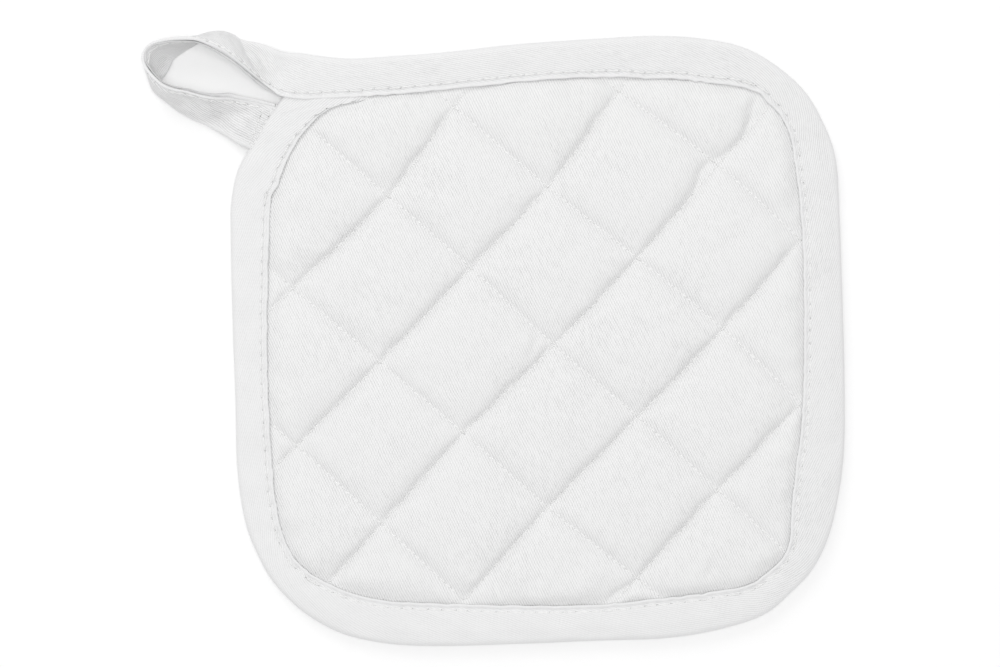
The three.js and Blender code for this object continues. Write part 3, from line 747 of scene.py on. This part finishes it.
def under_height(p, q, x, y, from_mouth):
    """Height of the pad's underside, pressed flat where the table is in its way."""
    crown = bank(from_line(p)) * bank(from_line(q))
    free = SEAM_BOTTOM - UNDER_SWELL * crown - UNDER_PUCKERS * puckers(p, q, 1)
    resting = (free + np.sqrt(free * free + TABLE_PRESS)) / 2
    edge = EDGE_BOTTOM + corner_squeeze(x, y)
    return np.maximum(edge + (resting - edge) * edge_swell(x, y, from_mouth), 0.0)


def pad_outline(tape):
    """The pad's own edge in the hollow of the tape, and the mouth of that hollow."""
    on_edge, on_mouth = ((tape.row >= k) & (tape.row <= len(BINDING_ROWS)) for k in PAD_FROM_ROWS)
    edge = (tape.fold + tape.across * (LEAF + GAP))[on_edge][::OUTLINE_STRIDE, :2]
    return np.vstack([edge, PAD_CORNER_ROWS]), tape.hem[on_mouth][::OUTLINE_STRIDE, :2]


def rim_faces(quads, shift):
    """Faces from the open edge of a grid to that of its copy, shift points further on."""
    edges = {}
    for quad in quads.tolist():
        for a, b in zip(quad, quad[1:] + quad[:1]):
            if edges.pop((b, a), None) is None:
                edges[a, b] = True
    return [[b, a, a + shift, b + shift] for a, b in edges]


def pad_mesh(tape, material):
    """The pad's cover: top and underside, cut off in the hollow of the tape and joined there."""
    numbers = line_numbers()
    p, q = np.meshgrid(numbers, numbers, indexing="ij")
    grid = quilt_points(numbers, numbers)
    x, y = grid[..., 0].copy(), grid[..., 1].copy()
    edge, mouth = pad_outline(tape)
    kept = inside(x, y, edge)
    x[~kept], y[~kept] = nearest(x[~kept], y[~kept], edge, closed=True)[2].T
    away, by_mouth, _ = nearest(x, y, mouth, closed=True)
    from_mouth = np.where(inside(x, y, mouth), away, 0)
    top = top_height(p, q, x, y, from_mouth, by_mouth)
    under = under_height(p, q, x, y, from_mouth)
    index = np.arange(p.size).reshape(p.shape)
    quads = np.stack([index[:-1, 1:], index[1:, 1:], index[1:, :-1], index[:-1, :-1]], axis=-1)
    some = kept[:-1, :-1] | kept[1:, :-1] | kept[1:, 1:] | kept[:-1, 1:]
    used, quads = np.unique(quads[some], return_inverse=True)
    quads = quads.reshape(-1, 4)
    upper, lower = (np.stack([x, y, z], axis=-1).reshape(-1, 3)[used] for z in (top, under))
    shift = len(used)
    faces = quads.tolist() + (quads[:, ::-1] + shift).tolist() + rim_faces(quads, shift)
    return make_mesh("quilted_cover", np.vstack([upper, lower]), faces, material)


# ---- Sewing ----
def surface_of(piece):
    """A look-up of where a straight line meets a piece."""
    return BVHTree.FromObject(piece, bpy.context.evaluated_depsgraph_get())


def dropped(surface, x, y, side):
    """The point of a surface straight below (side 1) or above (side -1) a place, and its normal."""
    start = Vector(to_frame((x, y, DROP_HEIGHT * side)))
    hit, normal, _, _ = surface.ray_cast(start, Vector((0, 0, -side)))
    if hit is None:
        return None
    return np.array(hit) / MM - np.array([*TABLE_ORIGIN, 0]), np.array(normal)


def needle_holes(length, pitch, rng):
    """Distances along a line at which the needle went in, a little uneven."""
    count = int(length / pitch)
    return (np.arange(count) + rng.uniform(*HOLE_SPREAD, count)) * pitch


def stitches_on(surface, line, side, pitch, seed, within=None):
    """Start, end and normal of the stitches along a line on a surface, inside the line within."""
    run = along(line)
    rng = np.random.default_rng(seed)
    found = []
    holes = needle_holes(run[-1], pitch, rng)
    for first, last in zip(holes + HOLE_GAP, holes[1:] - HOLE_GAP):
        sway = rng.normal(0, STITCH_SWAY)
        ends = []
        for s in (first, last):
            x, y = np.interp(s, run, line[:, 0]) + sway, np.interp(s, run, line[:, 1]) - sway
            if within is None or inside(x, y, within):
                ends.append(dropped(surface, x, y, side))
        if len(ends) == 2 and None not in ends:
            (a, normal_a), (b, normal_b) = ends
            found.append((a, b, unit(normal_a + normal_b + np.array([0, 0, side]))))
    return found


def stitches_beside_hem(tape, side, seed):
    """The topstitch along the tape's open edge, on one face."""
    rng = np.random.default_rng(seed)
    u = (tape.width - stitch_inset(tape))[:, None]
    height = face_height(tape, u, side) + crease_shift(tape, u, side)
    line = bent(tape, u, height, hem_nicks(tape)[:, None])[:, 0]
    found = []
    run = tape.run
    holes = needle_holes(run[-1], STITCH_PITCH, rng)
    for ends in zip(holes + HOLE_GAP, holes[1:] - HOLE_GAP):
        sway = rng.normal(0, TOPSTITCH_SWAY)
        a, b = (np.array([np.interp(s, run, line[:, axis]) for axis in range(3)]) for s in ends)
        middle = np.searchsorted(run, sum(ends) / 2)
        shift = tape.across[middle] * sway
        found.append((a + shift, b + shift, side * tape.up[middle]))
    return found


def thread_mesh(name, stitches, material):
    """Short lengths of thread that lie on the cloth and dive into it at both ends."""
    angle = 2 * math.pi * np.arange(THREAD_SIDES) / THREAD_SIDES
    points, weave, faces = [], [], []
    for start, end, normal in stitches:
        length = np.linalg.norm(end - start)
        run = np.concatenate([THREAD_RINGS, length - np.array(THREAD_RINGS[::-1])])
        from_end = np.minimum(run, length - run)
        dive = np.maximum(1 - from_end / THREAD_DIVE, 0) ** 2
        height = THREAD_LIFT * THREAD_RADIUS - THREAD_SINK * dive
        middle = start + (end - start) * (run / length)[:, None] + normal * height[:, None]
        side = unit(np.cross(unit(end - start), normal))
        ring = THREAD_RADIUS * (side * np.cos(angle)[:, None] + normal * np.sin(angle)[:, None])
        base = len(points) * len(run) * THREAD_SIDES
        points.append((middle[:, None] + ring[None]).reshape(-1, 3))
        # share of painted shadow, strongest where the thread goes into its hole
        hole_shadow = smooth(NEEDLE_HOLE, NEEDLE_HOLE / 2, from_end)
        weave.append(np.stack([np.repeat(run, THREAD_SIDES), np.tile(angle, len(run)),
                               np.repeat(hole_shadow, THREAD_SIDES)], axis=1))
        faces += tube_faces(len(run), THREAD_SIDES, base)
    return make_mesh(name, np.vstack(points), faces, material, np.vstack(weave))


def quilt_lines():
    """Every quilting line as (x, y) points."""
    fine = np.linspace(0, CELLS, QUILT_LINE_POINTS)
    lines = []
    for k in np.arange(1.0, CELLS):
        lines.append(quilt_points(np.array([k]), fine)[0])
        lines.append(quilt_points(fine, np.array([k]))[:, 0])
    return lines


def sewing(tape, band, cover, material):
    """The quilting on the cover, and the topstitches and tack rows on the tape, on both faces."""
    mouth = pad_outline(tape)[1]
    on_cover, on_band = surface_of(cover), surface_of(band)
    quilting = []
    for side in (1, -1):
        for k, line in enumerate(quilt_lines()):
            quilting += stitches_on(on_cover, line, side, QUILT_PITCH, QUILTING_SEED + k, mouth)
    edging = []
    for side in (1, -1):
        edging += stitches_beside_hem(tape, side, EDGING_SEEDS[side])
    for k, (x0, y0, x1, y1) in enumerate(TACK_ROWS):
        line = np.linspace((x0, y0), (x1, y1), TACK_LINE_POINTS)
        for side in (1, -1):
            edging += stitches_on(on_band, line, side, TACK_PITCH, TACK_SEED + k)
    return (thread_mesh("quilting_thread", quilting, material),
            thread_mesh("edging_thread", edging, material))


# ---- Materials ----
class Shade:
    """A material's node tree, built by short calls."""

    def __init__(self, name, color, roughness, sheen):
        """Start a material of one colour."""
        self.material = bpy.data.materials.new(name)
        self.material.use_nodes = True
        self.tree = self.material.node_tree
        self.surface = self.tree.nodes["Principled BSDF"]
        self.feed(self.surface, {
            "Base Color": (*color, 1), "Roughness": roughness, "Sheen Weight": sheen,
            "Sheen Roughness": SHEEN_ROUGHNESS, "Specular IOR Level": SPECULAR})

    def feed(self, node, inputs):
        """Give a node its inputs, each another node's output or a plain value."""
        for socket, value in inputs.items():
            if isinstance(value, bpy.types.NodeSocket):
                self.tree.links.new(value, node.inputs[socket])
            else:
                node.inputs[socket].default_value = value

    def node(self, kind, inputs, **settings):
        """Add a node with these inputs."""
        made = self.tree.nodes.new(kind)
        for name, value in settings.items():
            setattr(made, name, value)
        self.feed(made, inputs)
        return made

    def math(self, operation, *values):
        """The result of one step of arithmetic."""
        return self.node("ShaderNodeMath", dict(enumerate(values)), operation=operation).outputs[0]

    def scaled(self, value, gain, base):
        """A value times the gain, plus the base."""
        return self.math("MULTIPLY_ADD", value, gain, base)

    def noise(self, place, scale, detail=2.0):
        """Smooth random values from 0 to 1."""
        made = self.node("ShaderNodeTexNoise", {"Vector": place, "Scale": scale, "Detail": detail})
        return made.outputs["Fac"]

    def stripes(self, place, direction, pitch, shift):
        """A sine wave of the given pitch across a direction, moved along by the shift."""
        rate = 2 * math.pi / pitch
        turned = self.node("ShaderNodeVectorMath", {0: place, 1: tuple(rate * d for d in direction)},
                           operation="DOT_PRODUCT").outputs["Value"]
        return self.math("SINE", self.math("ADD", turned, shift))

    def bump(self, height, depth):
        """Let a height from 0 to 1 shape the surface, with depth in metres."""
        made = self.node("ShaderNodeBump", {"Height": height, "Distance": depth})
        self.feed(self.surface, {"Normal": made.outputs["Normal"]})

    def tint(self, share, low, high):
        """Colour between two colours, by a share from 0 to 1."""
        made = self.node("ShaderNodeMix", {0: share, 6: (*low, 1), 7: (*high, 1)}, data_type="RGBA")
        self.feed(self.surface, {"Base Color": made.outputs[2]})


def twill(name, color, wale_angle, wale_pitch, place_of):
    """Cotton twill: uneven diagonal wales over finer yarns, with painted shade in the troughs between
    them.
    place_of gives the place in millimetres, and how much of the wales shows there."""
    shade = Shade(name, color, CLOTH_ROUGHNESS, CLOTH_SHEEN)
    place, showing = place_of(shade)
    turn = math.radians(wale_angle)
    drift = shade.math("MULTIPLY", shade.noise(place, DRIFT_RATE), DRIFT)
    wale = shade.stripes(place, (-math.sin(turn), math.cos(turn), 0), wale_pitch, drift)
    yarn = shade.stripes(place, (-1, 0, 0), YARN_PITCH, drift)
    fuzz = shade.noise(place, FUZZ_RATE, FUZZ_DETAIL)
    along_wales = shade.node(
        "ShaderNodeMapping", {"Vector": place, "Rotation": (0, 0, turn),
                              "Scale": (SLUB_LENGTH, wale_pitch, 1)}, vector_type="TEXTURE").outputs[0]
    slubs = shade.math("MULTIPLY", shade.noise(along_wales, 1.0, 1.0), SLUB_GAIN)
    patches = shade.noise(place, PATCH_RATE, PATCH_DETAIL)
    patchy = shade.scaled(patches, PATCH_GAIN, PATCH_BASE)
    strength = shade.math("MULTIPLY", shade.math("MULTIPLY", slubs, patchy), showing)
    ridge = shade.scaled(shade.math("MULTIPLY", wale, strength), WALE_SHARE, RELIEF_BASE)
    height = shade.scaled(fuzz, FUZZ_SHARE, shade.scaled(yarn, YARN_SHARE, ridge))
    shade.bump(height, WALE_DEPTH * MM)
    # painted shade: the cloth is darker where wales, yarns and fuzz are low, and lighter in random
    # patches
    share = shade.scaled(height, TINT_GAIN, shade.scaled(patches, TINT_PATCH_GAIN, TINT_BASE))
    shade.tint(share, tuple(PAINTED_TROUGH_SHADE * c for c in color), color)
    return shade.material


def own_place(shade):
    """The object's own coordinates, in millimetres."""
    own = shade.node("ShaderNodeTexCoord", {}).outputs["Object"]
    return shade.node("ShaderNodeVectorMath", {0: own, "Scale": 1 / MM}, operation="SCALE").outputs[0]


def carried(shade):
    """The weave vector that the mesh carries: whole, and as its three parts."""
    whole = shade.node("ShaderNodeAttribute", {}, attribute_name="weave").outputs["Vector"]
    return whole, shade.node("ShaderNodeSeparateXYZ", {0: whole}).outputs


def tape_place(shade):
    """Place for the tape's twill, and how much of the wales shows."""
    whole, parts = carried(shade)
    return whole, parts[2]


def pad_place(shade):
    """The same for the pad's twill, whose wales show everywhere."""
    return own_place(shade), 1.0


def thread_material():
    """Twisted cotton thread, with painted shadow at its needle holes."""
    shade = Shade("sewing_thread", THREAD_COLOR, THREAD_ROUGHNESS, THREAD_SHEEN)
    run, angle, hole_shadow = carried(shade)[1]
    turn = shade.scaled(run, 2 * math.pi / TWIST_PITCH, shade.math("MULTIPLY", angle, TWIST_PLIES))
    shade.bump(shade.scaled(shade.math("SINE", turn), 0.5, 0.5), TWIST_DEPTH * MM)
    shade.tint(hole_shadow, THREAD_COLOR, HOLE_SHADOW_COLOR)
    return shade.material


def floor_material():
    """A white table that glows a little, as the photograph's is overexposed."""
    shade = Shade("white_table", TABLE_COLOR, TABLE_ROUGHNESS, 0.0)
    shade.feed(shade.surface, {"Emission Color": (1, 1, 1, 1), "Emission Strength": TABLE_GLOW})
    grain = shade.noise(own_place(shade), TABLE_GRAIN_RATE, TABLE_GRAIN_DETAIL)
    shade.bump(grain, TABLE_GRAIN_DEPTH * MM)
    return shade.material


# ---- Camera, light and floor ----
def area_light(name, place, size, power):
    """A round soft light that points at the part."""
    light = bpy.data.lights.new(name, "AREA")
    light.shape = "DISK"
    light.size = size
    light.energy = power
    aim = Vector(LIT_PLACE) - Vector(place)
    put_in_scene(name, light, place).rotation_euler = aim.to_track_quat("-Z", "Y").to_euler()


def camera_above():
    """The camera straight above, at the photograph's scale."""
    camera = bpy.data.cameras.new("camera")
    camera.sensor_width = SENSOR
    camera.lens = LENS
    place = (*(c * MM for c in FRAME_CENTRE), (CAMERA_DISTANCE + FOCUS_HEIGHT) * MM)
    bpy.context.scene.camera = put_in_scene("camera", camera, place)


def studio():
    """Camera, two soft lights in a white room, and the table."""
    camera_above()
    for light in LIGHTS:
        area_light(*light)
    world = bpy.data.worlds.new("studio")
    world.use_nodes = True
    background = world.node_tree.nodes["Background"].inputs
    background["Color"].default_value = (1, 1, 1, 1)
    background["Strength"].default_value = WORLD_LIGHT
    bpy.context.scene.world = world
    bpy.context.scene.view_settings.view_transform = "Standard"

    bpy.ops.mesh.primitive_plane_add(size=TABLE_SIZE, location=(0, 0, TABLE_TOP))
    floor = bpy.context.object
    floor.name = "floor"
    floor.data.materials.append(floor_material())


# ---- Putting it together ----
def main():
    """Build everything, attach each piece to the root, and hide the solids it takes the place of."""
    studio()
    tape = tape_stations()
    pad_cloth = twill("pad_twill", PAD_COLOR, PAD_WALE_ANGLE, PAD_WALE_PITCH, pad_place)
    tape_cloth = twill("tape_twill", TAPE_COLOR, TAPE_WALE_ANGLE, TAPE_WALE_PITCH, tape_place)

    cover = pad_mesh(tape, pad_cloth)
    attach(cover, "root")
    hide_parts("quilted_pad")

    band = tape_mesh(tape, tape_cloth)
    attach(band, "root")
    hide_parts("edge_binding", "hanging_loop")

    quilting, edging = sewing(tape, band, cover, thread_material())
    for thread in (quilting, edging):
        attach(thread, "root")


main()
